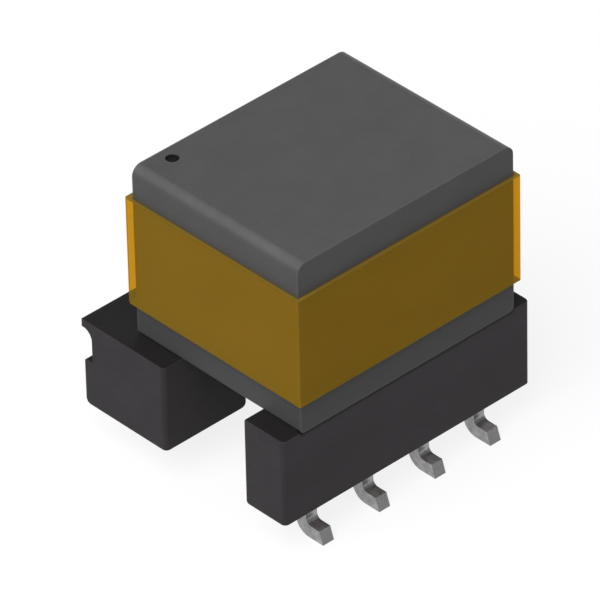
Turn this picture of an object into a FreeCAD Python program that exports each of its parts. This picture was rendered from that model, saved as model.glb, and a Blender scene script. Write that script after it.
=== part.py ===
import FreeCAD, Part
import math
import os

import Sketcher

# Surface-mount transformer on a two-rail coil former, in millimetres.
# X runs along the rails, -Y points to the front rail, +Z is up and z = 0 is the board.
# Each piece is drawn with y = 0 on the plane where the two core halves meet. Its placement
# then centres the whole part over the origin.

doc = FreeCAD.newDocument("transformer")
sheet = doc.addObject("Spreadsheet::Sheet", "Sizes")


class Length:
    """A number that also knows the sheet formula that gives it."""

    def __init__(self, value, text):
        self.value = value
        self.text = text

    def _join(self, other, sign, value):
        text = other.text if isinstance(other, Length) else repr(other)
        return Length(value, f"({self.text} {sign} {text})")

    def __add__(self, other):
        return self._join(other, "+", self.value + plain(other))

    def __sub__(self, other):
        return self._join(other, "-", self.value - plain(other))

    def __mul__(self, other):
        return self._join(other, "*", self.value * plain(other))

    def __truediv__(self, other):
        return self._join(other, "/", self.value / plain(other))

    def __neg__(self):
        return Length(-self.value, f"(0 - {self.text})")


def plain(item):
    """The bare number of a Length or a number."""
    return item.value if isinstance(item, Length) else item


def size(name, value):
    """Write one driving dimension into the sheet and return it as a Length."""
    row = size.row = getattr(size, "row", 0) + 1
    sheet.set(f"A{row}", name)
    sheet.set(f"B{row}", str(value))
    sheet.setAlias(f"B{row}", name)
    return Length(value, f"Sizes.{name}")


# Ferrite core: two equal halves around a round post
core_width = size("core_width", 9.45)
core_half_length = size("core_half_length", 3.82)
core_height = size("core_height", 6.54)
core_top_round = size("core_top_round", 0.38)
core_foot_round = size("core_foot_round", 0.15)
window_depth = size("window_depth", 2.6)
window_radius = size("window_radius", 3.6)
post_radius = size("post_radius", 1.65)
post_height = size("post_height", 1.7)
post_air_gap = size("post_air_gap", 0.1)
dot_diameter = size("dot_diameter", 0.46)
dot_depth = size("dot_depth", 0.1)
dot_side_inset = size("dot_side_inset", 1.25)
dot_rear_inset = size("dot_rear_inset", 0.55)

# Tape band around the core
band_width = size("band_width", 4.12)
band_thickness = size("band_thickness", 0.17)
band_ply = size("band_ply", 0.06)
band_corner = size("band_corner", 0.06)
band_end_inset = size("band_end_inset", 2.6)
band_fit = size("band_fit", 0.005)

# Coil former: rails, tube and flanges
rail_length = size("rail_length", 10.95)
rail_height = size("rail_height", 3.31)
rail_standoff = size("rail_standoff", 1.485)
rail_corner_round = size("rail_corner_round", 0.17)
front_rail_width = size("front_rail_width", 1.79)
front_top_round = size("front_top_round", 0.06)
front_foot_round = size("front_foot_round", 0.1)
rear_rail_width = size("rear_rail_width", 3.815)
rear_lip_reach = size("rear_lip_reach", 0.09)
rear_lip_thickness = size("rear_lip_thickness", 0.3)
rear_groove_depth = size("rear_groove_depth", 0.37)
rear_ledge_height = size("rear_ledge_height", 1.77)
rear_cove_radius = size("rear_cove_radius", 0.4)
rear_ledge_round = size("rear_ledge_round", 0.1)
rear_foot_round = size("rear_foot_round", 0.2)
rear_gap_width = size("rear_gap_width", 3.92)
rear_gap_depth = size("rear_gap_depth", 1.85)
rear_gap_round = size("rear_gap_round", 0.18)
coil_width = size("coil_width", 3.79)
coil_offset = size("coil_offset", -0.1)
flange_thickness = size("flange_thickness", 0.42)
flange_clearance = size("flange_clearance", 0.1)
tube_wall = size("tube_wall", 0.4)
tube_clearance = size("tube_clearance", 0.1)
wire_groove_width = size("wire_groove_width", 0.5)
wire_groove_depth = size("wire_groove_depth", 0.3)
wire_groove_overrun = size("wire_groove_overrun", 0.5)

# Leads: square wire bent into a foot
lead_pitch = size("lead_pitch", 2.5)
lead_count = 4
lead_width = size("lead_width", 0.48)
lead_thickness = size("lead_thickness", 0.48)
lead_inset = size("lead_inset", 0.615)
lead_reach = size("lead_reach", 0.155)
lead_tip_slope = size("lead_tip_slope", 0.165)
lead_bend_radius = size("lead_bend_radius", 0.58)
lead_inner_radius = size("lead_inner_radius", 0.22)
lead_embedded = size("lead_embedded", 2.4)
lead_fit = size("lead_fit", 0.01)

# Coil: wires, insulation and the ends that run to the leads
inner_wire = size("inner_wire", 0.16)
outer_wire = size("outer_wire", 0.22)
layer_tape = size("layer_tape", 0.06)
wrap_thickness = size("wrap_thickness", 0.12)
layer_gap = size("layer_gap", 0.01)
wire_corridor = size("wire_corridor", 0.3)
wire_exit_angle = size("wire_exit_angle", 40)
gap_wire_height = size("gap_wire_height", 1.2)
gap_wire_margin = size("gap_wire_margin", 0.33)
termination_gap = size("termination_gap", 0.03)
termination_turns = size("termination_turns", 1.2)
termination_round_share = size("termination_round_share", 0.9)

# Places that follow from the sizes
rail_top = rail_standoff + rail_height
core_top = rail_top + core_height
post_axis = rail_top + post_height
band_bottom = rail_top + (core_height - band_width) / 2
coil_front = coil_offset - coil_width / 2
coil_rear = coil_offset + coil_width / 2
front_face = coil_front - front_rail_width
rear_face = coil_rear + rear_rail_width
tube_radius = post_radius + tube_clearance + tube_wall
flange_radius = window_radius - flange_clearance
side_groove = coil_rear + rear_gap_depth - wire_groove_width


def farther(one, other):
    """The larger of two lengths."""
    return Length(max(one.value, other.value), f"max({one.text}; {other.text})")


front_end = farther(lead_reach - front_face, core_half_length + band_fit + band_thickness)
rear_end = rear_face + farther(lead_reach, rear_lip_reach)
centring = (front_end - rear_end) / 2


def evaluated(items):
    """Bare numbers of a point or a list of lengths."""
    return [plain(item) for item in items]


def new_body(label):
    """A body whose placement centres the part over the origin."""
    body = doc.addObject("PartDesign::Body", label)
    body.Label = label
    body.setExpression("Placement.Base.y", centring.text)
    return body


def new_sketch(body, plane, name, offset=None, drop=None):
    """A sketch on one of the body's own planes, lifted along its normal by offset
    and along its own vertical by drop."""
    sketch = body.newObject("Sketcher::SketchObject", name)
    support = [item for item in body.Origin.OriginFeatures if item.Role == plane][0]
    sketch.AttachmentSupport = [(support, "")]
    sketch.MapMode = "FlatFace"
    if offset is not None:
        sketch.setExpression("AttachmentOffset.Base.z", offset.text)
    if drop is not None:
        sketch.setExpression("AttachmentOffset.Base.y", drop.text)
    return sketch


def pin_coordinate(sketch, line, point, kind, target):
    """Hold one coordinate of a line's end at the sheet's value."""
    value = plain(target)
    if abs(value) < 1e-9:
        axis = -2 if kind == "DistanceX" else -1
        sketch.addConstraint(Sketcher.Constraint("PointOnObject", line, point, axis))
        return
    if value > 0:
        ends = (-1, 1, line, point)
        text = target.text
    else:
        ends = (line, point, -1, 1)
        text = (-target).text
    index = sketch.addConstraint(Sketcher.Constraint(kind, *ends, abs(value)))
    sketch.setExpression(f"Constraints[{index}]", text)


def draw_outline(sketch, points):
    """A closed outline of straight lines through points whose coordinates are lengths."""
    corners = [FreeCAD.Vector(*evaluated(point), 0) for point in points]
    first = sketch.GeometryCount
    count = len(corners)
    for index, corner in enumerate(corners):
        sketch.addGeometry(Part.LineSegment(corner, corners[(index + 1) % count]), False)
    for index in range(count):
        following = first + (index + 1) % count
        sketch.addConstraint(Sketcher.Constraint("Coincident", first + index, 2, following, 1))
    for index, (across, along) in enumerate(points):
        pin_coordinate(sketch, first + index, 1, "DistanceX", across)
        pin_coordinate(sketch, first + index, 1, "DistanceY", along)


def draw_rectangle(sketch, low, high):
    """A rectangle between two corners given as lengths."""
    draw_outline(sketch, [low, (high[0], low[1]), high, (low[0], high[1])])


def draw_circle(sketch, centre, radius):
    """A circle whose centre and radius are lengths."""
    middle = FreeCAD.Vector(*evaluated(centre), 0)
    index = sketch.addGeometry(Part.Circle(middle, FreeCAD.Vector(0, 0, 1), radius.value), False)
    pin_coordinate(sketch, index, 3, "DistanceX", centre[0])
    pin_coordinate(sketch, index, 3, "DistanceY", centre[1])
    held = sketch.addConstraint(Sketcher.Constraint("Radius", index, radius.value))
    sketch.setExpression(f"Constraints[{held}]", radius.text)


def extrude(body, kind, sketch, length, name, reversed_way=False, both_ways=False):
    """A pad or a pocket of a sketch, checked for a change of volume in the right direction."""
    before = body.Shape.Volume if body.Tip else 0.0
    feature = body.newObject(f"PartDesign::{kind}", name)
    feature.Profile = sketch
    feature.setExpression("Length", length.text)
    feature.Reversed = reversed_way
    feature.Midplane = both_ways
    body.Tip = feature
    doc.recompute()
    grown = feature.Shape.Volume - before
    if (grown <= 0) if kind == "Pad" else (grown >= 0):
        raise RuntimeError(f"{body.Label} {name} changed nothing")
    return feature


def round_edges(body, radius, name, wanted):
    """Fillet the edges of the body's last feature that the test picks out."""
    base = body.Tip
    edges = [f"Edge{number}" for number, edge in enumerate(base.Shape.Edges, 1) if wanted(edge)]
    if not edges:
        raise RuntimeError(f"{body.Label} {name} found no edge")
    fillet = body.newObject("PartDesign::Fillet", name)
    fillet.Base = (base, edges)
    fillet.setExpression("Radius", radius.text)
    body.Tip = fillet
    doc.recompute()
    return fillet


def lies_at(edge, **places):
    """True for an edge that stays at the given x, y or z all along, within a micrometre."""
    box = edge.BoundBox
    spans = {"x": (box.XMin, box.XMax), "y": (box.YMin, box.YMax), "z": (box.ZMin, box.ZMax)}
    for axis, place in places.items():
        if any(abs(end - plain(place)) > 1e-3 for end in spans[axis]):
            return False
    return True


def at_either_x(edge, distance, **places):
    """True for an edge that lies at the distance on either side of the middle plane."""
    return lies_at(edge, x=distance, **places) or lies_at(edge, x=-distance, **places)


def build_core_half(label, is_rear):
    """One ferrite half: a block with a round window that opens downwards, and its post."""
    body = new_body(label)
    outline = new_sketch(body, "XZ_Plane", f"{label}_outline")
    draw_rectangle(outline, (-core_width / 2, rail_top), (core_width / 2, core_top))
    extrude(body, "Pad", outline, core_half_length, f"{label}_block", reversed_way=is_rear)
    round_edges(body, core_top_round, f"{label}_top_round",
                lambda edge: at_either_x(edge, core_width / 2, z=core_top))
    round_edges(body, core_foot_round, f"{label}_foot_round",
                lambda edge: at_either_x(edge, core_width / 2, z=rail_top))
    zero = core_width * 0
    window = new_sketch(body, "XZ_Plane", f"{label}_window_sketch")
    draw_circle(window, (zero, post_axis), window_radius)
    draw_circle(window, (zero, post_axis), post_radius)
    extrude(body, "Pocket", window, window_depth, f"{label}_window", reversed_way=not is_rear)
    gap = new_sketch(body, "XZ_Plane", f"{label}_gap_sketch")
    draw_circle(gap, (zero, post_axis), (post_radius + window_radius) / 2)
    extrude(body, "Pocket", gap, post_air_gap / 2, f"{label}_gap", reversed_way=not is_rear)
    if is_rear:
        dot = new_sketch(body, "XY_Plane", f"{label}_dot_sketch", offset=core_top)
        place = (dot_side_inset - core_width / 2, core_half_length - dot_rear_inset)
        draw_circle(dot, place, dot_diameter / 2)
        extrude(body, "Pocket", dot, dot_depth, f"{label}_dot")
    return body


def build_core_tape():
    """The amber band, with the end of its last turn lapped over the rear face."""
    body = new_body("core_tape")
    inner_x = core_width / 2 + band_fit
    inner_y = core_half_length + band_fit
    outer_x = inner_x + band_thickness
    outer_y = inner_y + band_thickness
    ring = new_sketch(body, "XY_Plane", "band_ring", offset=band_bottom)
    draw_rectangle(ring, (-outer_x, -outer_y), (outer_x, outer_y))
    draw_rectangle(ring, (-inner_x, -inner_y), (inner_x, inner_y))
    extrude(body, "Pad", ring, band_width, "band")
    round_edges(body, band_corner, "band_corners",
                lambda edge: at_either_x(edge, outer_x, y=outer_y)
                or at_either_x(edge, outer_x, y=-outer_y))
    lap = new_sketch(body, "XY_Plane", "band_lap_sketch", offset=band_bottom)
    draw_rectangle(lap, (-outer_x + band_corner, outer_y - band_ply),
                   (core_width / 2 - band_end_inset, outer_y + band_ply))
    extrude(body, "Pad", lap, band_width, "band_lap")
    return body


def lead_places():
    """The distance of each lead of a row from the middle plane."""
    return [lead_pitch * (index - (lead_count - 1) / 2) for index in range(lead_count)]


def build_bobbin():
    """The moulded coil former: two rails joined by a tube with two round flanges."""
    body = new_body("bobbin")
    half_rail = rail_length / 2
    lip_face = rear_face + rear_lip_reach
    groove_wall = rear_face - rear_groove_depth
    lip_bottom = rail_top - rear_lip_thickness
    ledge = rail_standoff + rear_ledge_height

    rear = new_sketch(body, "YZ_Plane", "rear_rail_outline")
    draw_outline(rear, [
        (coil_rear, rail_standoff),
        (rear_face, rail_standoff),
        (rear_face, ledge),
        (groove_wall, ledge),
        (groove_wall, lip_bottom),
        (lip_face, lip_bottom),
        (lip_face, rail_top),
        (coil_rear, rail_top),
    ])
    extrude(body, "Pad", rear, rail_length, "rear_rail", both_ways=True)
    round_edges(body, rear_cove_radius, "rear_cove",
                lambda edge: lies_at(edge, y=groove_wall, z=lip_bottom))
    round_edges(body, rear_foot_round, "rear_foot_edge",
                lambda edge: lies_at(edge, y=rear_face, z=rail_standoff))
    round_edges(body, rear_ledge_round, "rear_ledge_edge",
                lambda edge: lies_at(edge, y=rear_face, z=ledge))
    round_edges(body, rail_corner_round, "rear_inner_corners",
                lambda edge: at_either_x(edge, half_rail, y=coil_rear))

    half_gap = rear_gap_width / 2
    gap = new_sketch(body, "XY_Plane", "rear_gap_sketch", offset=rail_standoff)
    draw_rectangle(gap, (-half_gap, coil_rear - flange_thickness),
                   (half_gap, coil_rear + rear_gap_depth))
    extrude(body, "Pocket", gap, rail_height, "rear_gap", reversed_way=True)
    round_edges(body, rear_gap_round, "rear_gap_edges",
                lambda edge: at_either_x(edge, half_gap, z=rail_standoff))

    flange_front = coil_front - flange_thickness
    flange_rear = coil_rear + flange_thickness
    inner = post_radius + tube_clearance
    former = new_sketch(body, "YZ_Plane", "former_profile", drop=post_axis)
    draw_outline(former, [
        (flange_front, inner),
        (flange_front, flange_radius),
        (coil_front, flange_radius),
        (coil_front, tube_radius),
        (coil_rear, tube_radius),
        (coil_rear, flange_radius),
        (flange_rear, flange_radius),
        (flange_rear, inner),
    ])
    revolved = body.newObject("PartDesign::Revolution", "tube_and_flanges")
    revolved.Profile = former
    revolved.ReferenceAxis = (former, ["H_Axis"])
    revolved.Angle = 360
    body.Tip = revolved
    doc.recompute()

    front = new_sketch(body, "YZ_Plane", "front_rail_outline")
    draw_rectangle(front, (front_face, rail_standoff), (coil_front, rail_top))
    extrude(body, "Pad", front, rail_length, "front_rail", both_ways=True)
    round_edges(body, rail_corner_round, "front_outer_corners",
                lambda edge: at_either_x(edge, half_rail, y=front_face))
    round_edges(body, front_top_round, "front_top_edge",
                lambda edge: lies_at(edge, y=front_face, z=rail_top))
    round_edges(body, front_foot_round, "front_foot_edge",
                lambda edge: lies_at(edge, y=coil_front, z=rail_standoff))

    bore = new_sketch(body, "XZ_Plane", "bore_sketch", offset=-coil_offset)
    draw_circle(bore, (rail_length * 0, post_axis), inner)
    extrude(body, "Pocket", bore, coil_width + flange_thickness * 2, "bore", both_ways=True)

    grooves = new_sketch(body, "XY_Plane", "wire_groove_sketch", offset=rail_standoff)
    front_pin = front_face + lead_inset
    rear_pin = rear_face - lead_inset
    margin = wire_groove_width / 2
    for place in lead_places():
        draw_rectangle(grooves, (place - margin, front_pin + lead_thickness),
                       (place + margin, coil_front + margin))
        if abs(place.value) < half_gap.value:
            draw_rectangle(grooves, (place - margin, coil_rear + rear_gap_depth - margin),
                           (place + margin, rear_pin - lead_thickness))
            continue
        side = 1 if place.value > 0 else -1
        start = half_gap - wire_groove_overrun
        if side > 0:
            inner, outer = start, place - margin
        else:
            inner, outer = place + margin, -start
        draw_outline(grooves, [
            (inner, side_groove - margin),
            (outer, side_groove - margin),
            (outer, side_groove + margin),
            (inner, side_groove + margin),
        ])
        draw_rectangle(grooves, (place - margin, side_groove - margin),
                       (place + margin, rear_pin - lead_thickness))
    extrude(body, "Pocket", grooves, wire_groove_depth, "wire_grooves", reversed_way=True)

    seats = new_sketch(body, "XY_Plane", "lead_seat_sketch", offset=rail_standoff)
    half_lead = lead_width / 2 + lead_fit
    for place in lead_places():
        draw_rectangle(seats, (place - half_lead, front_pin - lead_fit),
                       (place + half_lead, front_pin + lead_thickness + lead_fit))
        draw_rectangle(seats, (place - half_lead, rear_pin - lead_thickness - lead_fit),
                       (place + half_lead, rear_pin + lead_fit))
    extrude(body, "Pocket", seats, lead_embedded + lead_fit, "lead_seats", reversed_way=True)
    return body


def build_lead(label, place, is_rear):
    """A square wire lead: a post in the rail, one bend, and a foot with a sloping end."""
    body = new_body(label)
    foot = new_sketch(body, "YZ_Plane", f"{label}_profile")
    back = lead_inset + lead_thickness
    top = rail_standoff + lead_embedded
    zero = lead_width * 0
    draw_outline(foot, [
        (-lead_reach, zero),
        (back, zero),
        (back, top),
        (lead_inset, top),
        (lead_inset, lead_thickness),
        (lead_tip_slope - lead_reach, lead_thickness),
    ])
    extrude(body, "Pad", foot, lead_width, f"{label}_wire", both_ways=True)
    round_edges(body, lead_bend_radius, f"{label}_bend",
                lambda edge: lies_at(edge, y=back, z=zero))
    round_edges(body, lead_inner_radius, f"{label}_inner_bend",
                lambda edge: lies_at(edge, y=lead_inset, z=lead_thickness))
    body.setExpression("Placement.Base.x", place.text)
    face = rear_face if is_rear else front_face
    body.setExpression("Placement.Base.y", (centring + face).text)
    if is_rear:
        body.Placement.Rotation = FreeCAD.Rotation(FreeCAD.Vector(0, 0, 1), 180)
    return body


def build_layer(label, inner_radius, thickness):
    """One turned sleeve of insulation on the coil, clear of the wire corridors at its ends."""
    body = new_body(label)
    ring = new_sketch(body, "XZ_Plane", f"{label}_ring", offset=-(coil_rear - wire_corridor))
    zero = thickness * 0
    draw_circle(ring, (zero, post_axis), inner_radius + thickness)
    draw_circle(ring, (zero, post_axis), inner_radius)
    extrude(body, "Pad", ring, coil_width - wire_corridor * 2, f"{label}_sleeve")
    return body


def wire_along(corners, diameter):
    """A round wire in straight runs, mitred at each bend."""
    section = Part.makeCircle(diameter / 2, corners[0], corners[1] - corners[0])
    mitred = 1
    return Part.makePolygon(corners).makePipeShell([Part.Wire([section])], True, False, mitred)


def build_winding(label, inner_radius, wire, is_rear, lead_place):
    """A coil of wire, its two ends out through the corridor, and a termination on each lead."""
    side = 1 if is_rear else -1
    radius = plain(inner_radius)
    diameter = wire.value
    axis_height = post_axis.value
    corridor = wire_corridor.value
    low = coil_front.value + corridor
    high = coil_rear.value - corridor
    along = FreeCAD.Vector(0, 1, 0)
    base = FreeCAD.Vector(0, low, axis_height)
    turns = Part.makeCylinder(radius + diameter, high - low, base, along)
    solid = turns.cut(Part.makeCylinder(radius, high - low, base, along))

    coil_end = high if is_rear else low
    corridor_y = coil_end + side * corridor / 2
    angle = math.radians(wire_exit_angle.value)
    middle_radius = radius + diameter / 2
    exit_x = middle_radius * math.cos(angle)
    exit_z = axis_height - middle_radius * math.sin(angle)
    groove_z = rail_standoff.value + wire_groove_depth.value / 2
    gap_wire_z = rail_standoff.value + gap_wire_height.value
    half_gap = rear_gap_width.value / 2
    rail_face = plain(rear_face if is_rear else front_face)
    pin_back = rail_face - side * (lead_inset + lead_thickness).value
    wrap_top = rail_standoff.value - termination_gap.value
    wrap_bottom = wrap_top - diameter * (termination_turns.value + 1)
    for mirror in (-1, 1):
        place = mirror * plain(lead_place)
        corners = [
            FreeCAD.Vector(mirror * exit_x, coil_end - side * corridor / 2, exit_z),
            FreeCAD.Vector(mirror * exit_x, corridor_y, exit_z),
        ]
        if is_rear:
            # Through the gap in the rear rail, clear of the flange's edge
            inside = mirror * min(abs(place), half_gap - gap_wire_margin.value)
            across = plain(side_groove)
            corners.append(FreeCAD.Vector(inside, corridor_y, gap_wire_z))
            flange_back = coil_rear.value + flange_thickness.value
            corners.append(FreeCAD.Vector(inside, flange_back, gap_wire_z))
            corners.append(FreeCAD.Vector(inside, across, groove_z))
            if abs(place) > half_gap:
                corners.append(FreeCAD.Vector(place, across, groove_z))
        else:
            corners.append(FreeCAD.Vector(place, corridor_y, groove_z))
        corners.append(FreeCAD.Vector(place, pin_back - side * wire_groove_depth.value, groove_z))
        corners.append(FreeCAD.Vector(place, pin_back - side * diameter / 2, wrap_top - diameter / 2))
        solid = solid.fuse(wire_along(corners, diameter))
        solid = solid.fuse(termination(place, pin_back, side, diameter, wrap_bottom, wrap_top))
    feature = doc.addObject("Part::Feature", label)
    feature.Label = label
    feature.Shape = solid.removeSplitter()
    feature.setExpression("Placement.Base.y", centring.text)
    return feature


def termination(place, pin_back, side, diameter, bottom, top):
    """The turns of wire around a lead's post, as one rounded collar."""
    half_x = lead_width.value / 2 + lead_fit.value
    thickness = lead_thickness.value
    middle_y = pin_back + side * thickness / 2
    half_y = thickness / 2 + lead_fit.value
    height = top - bottom
    outer = Part.makeBox(
        2 * (half_x + diameter), 2 * (half_y + diameter), height,
        FreeCAD.Vector(place - half_x - diameter, middle_y - half_y - diameter, bottom))
    upright = [edge for edge in outer.Edges if edge.BoundBox.ZLength > height / 2]
    outer = outer.makeFillet(termination_round_share.value * diameter, upright)
    inner = Part.makeBox(
        2 * half_x, 2 * half_y, height,
        FreeCAD.Vector(place - half_x, middle_y - half_y, bottom))
    return outer.cut(inner)


pieces = [
    build_bobbin(),
    build_core_half("core_half_front", is_rear=False),
    build_core_half("core_half_rear", is_rear=True),
    build_core_tape(),
]
for row, is_rear in enumerate((False, True)):
    for index, place in enumerate(lead_places()):
        pieces.append(build_lead(f"lead_{1 + index + row * lead_count}", place, is_rear))

outer_place = lead_places()[-1]
inner_place = lead_places()[-2]
radius = tube_radius + layer_gap
for label, wire, is_rear, place, sleeve in (
    ("primary_winding", inner_wire, False, inner_place, "first_layer_tape"),
    ("secondary_winding", outer_wire, True, inner_place, "second_layer_tape"),
    ("bias_winding", inner_wire, False, outer_place, "third_layer_tape"),
    ("drive_winding", outer_wire, True, outer_place, None),
):
    pieces.append(build_winding(label, radius, wire, is_rear, place))
    radius = radius + wire + layer_gap
    if sleeve:
        pieces.append(build_layer(sleeve, radius, layer_tape))
        radius = radius + layer_tape + layer_gap
pieces.append(build_layer("coil_wrap", radius, wrap_thickness))

doc.recompute()
for item in doc.Objects:
    if "Invalid" in item.State or "Error" in item.State:
        raise RuntimeError(f"{item.Label} did not build: {item.State}")
for piece in pieces:
    if piece.Shape.isNull() or not piece.Shape.isValid():
        raise RuntimeError(f"{piece.Label} has no valid shape")

os.makedirs("parts", exist_ok=True)
for piece in pieces:
    piece.Shape.exportStep(f"parts/{piece.Label}.step")
    box = piece.Shape.BoundBox
    print(f"{piece.Label}: {len(piece.Shape.Solids)} solid, {piece.Shape.Volume:.3f} mm3, "
          f"x {box.XMin:.2f} to {box.XMax:.2f}, y {box.YMin:.2f} to {box.YMax:.2f}, "
          f"z {box.ZMin:.2f} to {box.ZMax:.2f}")
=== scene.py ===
"""Looks of a small board-mounted ferrite transformer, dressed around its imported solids."""

import logging
import math
from dataclasses import dataclass
from enum import Enum

import bpy
import numpy as np
from mathutils import Matrix, Vector


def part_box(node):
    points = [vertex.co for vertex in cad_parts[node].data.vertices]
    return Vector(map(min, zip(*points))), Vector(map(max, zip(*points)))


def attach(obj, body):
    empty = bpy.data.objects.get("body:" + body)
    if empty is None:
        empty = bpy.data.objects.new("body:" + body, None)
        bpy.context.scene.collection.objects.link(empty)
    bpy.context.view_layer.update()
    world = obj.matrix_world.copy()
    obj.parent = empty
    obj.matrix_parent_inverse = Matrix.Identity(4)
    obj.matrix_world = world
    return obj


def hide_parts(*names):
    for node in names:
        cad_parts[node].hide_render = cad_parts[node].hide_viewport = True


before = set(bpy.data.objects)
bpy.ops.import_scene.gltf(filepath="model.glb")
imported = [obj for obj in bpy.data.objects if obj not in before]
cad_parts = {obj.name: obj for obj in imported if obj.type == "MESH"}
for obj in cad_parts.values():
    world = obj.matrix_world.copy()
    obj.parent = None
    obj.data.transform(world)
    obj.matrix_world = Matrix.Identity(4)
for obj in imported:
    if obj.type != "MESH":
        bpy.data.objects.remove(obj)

MM = 0.001
LOG = logging.getLogger("transformer")

Span = tuple[float, float]
Triple = tuple[float, float, float]
Colour = Triple
Socket = bpy.types.NodeSocket

WHITE: Colour = (1.0, 1.0, 1.0)


class Row(Enum):
    """The two rows of leads; the value is the way out of the part along Y."""

    FRONT = -1
    REAR = 1


class NodeSheet:
    """Adds nodes to one node tree and joins them up."""

    def __init__(self, tree: bpy.types.NodeTree) -> None:
        """Start from an empty tree.

        Args:
            tree: The node tree of a material, a world or a group.
        """
        self.tree = tree
        tree.nodes.clear()

    def feed(self, socket: Socket, value: object) -> None:
        """Join another node's output to a socket, or set the socket's constant.

        Args:
            socket: An input of a node in this tree.
            value: The output that feeds it, or its constant. A colour has no alpha here.
        """
        if isinstance(value, bpy.types.NodeSocket):
            self.tree.links.new(value, socket)
        elif socket.type == "RGBA":
            socket.default_value = (*value, 1.0)
        else:
            socket.default_value = value

    def add(self, kind: str, inputs: dict | None = None, **settings: object) -> bpy.types.Node:
        """Add one node.

        Args:
            kind: Blender's name of the node type.
            inputs: Names or numbers of sockets with their constants or the outputs that feed them.
            **settings: Properties of the node itself.

        Returns:
            The new node.
        """
        node = self.tree.nodes.new(kind)
        for name, value in settings.items():
            setattr(node, name, value)
        for name, value in (inputs or {}).items():
            self.feed(node.inputs[name], value)
        return node

    def math(self, operation: str, *values: object) -> Socket:
        """Work out one operation on numbers.

        Args:
            operation: Blender's name of the operation.
            *values: Its inputs in order, as outputs or constants.

        Returns:
            The output with the result.
        """
        return self.add("ShaderNodeMath", dict(enumerate(values)), operation=operation).outputs[0]

    def vector(self, operation: str, *values: object) -> Socket:
        """Work out one operation on vectors.

        Args:
            operation: Blender's name of the operation, one that gives a vector.
            *values: Its inputs in order, as outputs or constants.

        Returns:
            The output with the result.
        """
        node = self.add("ShaderNodeVectorMath", dict(enumerate(values)), operation=operation)
        return node.outputs["Vector"]

    def spread(self, value: object, low: object, high: object, start: float, end: float) -> Socket:
        """Map a value smoothly from one range onto another.

        Args:
            value: The value to map.
            low: Where its range begins.
            high: Where its range ends.
            start: The result up to low.
            end: The result from high on.

        Returns:
            The output with the result.
        """
        node = self.add("ShaderNodeMapRange", {
            "Value": value, "From Min": low, "From Max": high, "To Min": start, "To Max": end,
        }, interpolation_type="SMOOTHSTEP")
        return node.outputs["Result"]

    def blend(self, share: object, first: object, second: object) -> Socket:
        """Mix two colours.

        Args:
            share: How much of the second colour shows, from 0 to 1.
            first: The first colour.
            second: The second colour.

        Returns:
            The output with the mixed colour.
        """
        node = self.add("ShaderNodeMix", data_type="RGBA")
        sockets = [socket for socket in node.inputs if socket.enabled]
        for socket, value in zip(sockets, (share, first, second)):
            self.feed(socket, value)
        return next(socket for socket in node.outputs if socket.enabled)

    def scaled(self, value: object, share: float) -> Socket:
        """A value times a share."""
        return self.math("MULTIPLY", value, share)

    def weighted(self, *pairs: tuple[object, float]) -> Socket:
        """The sum of two values, each times its own share."""
        return self.math("ADD", *[self.scaled(value, share) for value, share in pairs])

    def part(self, vector: object, axis: str) -> Socket:
        """One of a vector's three numbers, by the name of its axis."""
        return self.add("ShaderNodeSeparateXYZ", {0: vector}).outputs[axis]

    def effect(self, group: bpy.types.NodeTree, inputs: dict) -> Socket:
        """Place a shared effect.

        Args:
            group: The effect's node group.
            inputs: Its inputs' names with their constants or the outputs that feed them.

        Returns:
            The effect's one output.
        """
        return self.add("ShaderNodeGroup", inputs, node_tree=group).outputs[0]


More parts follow.
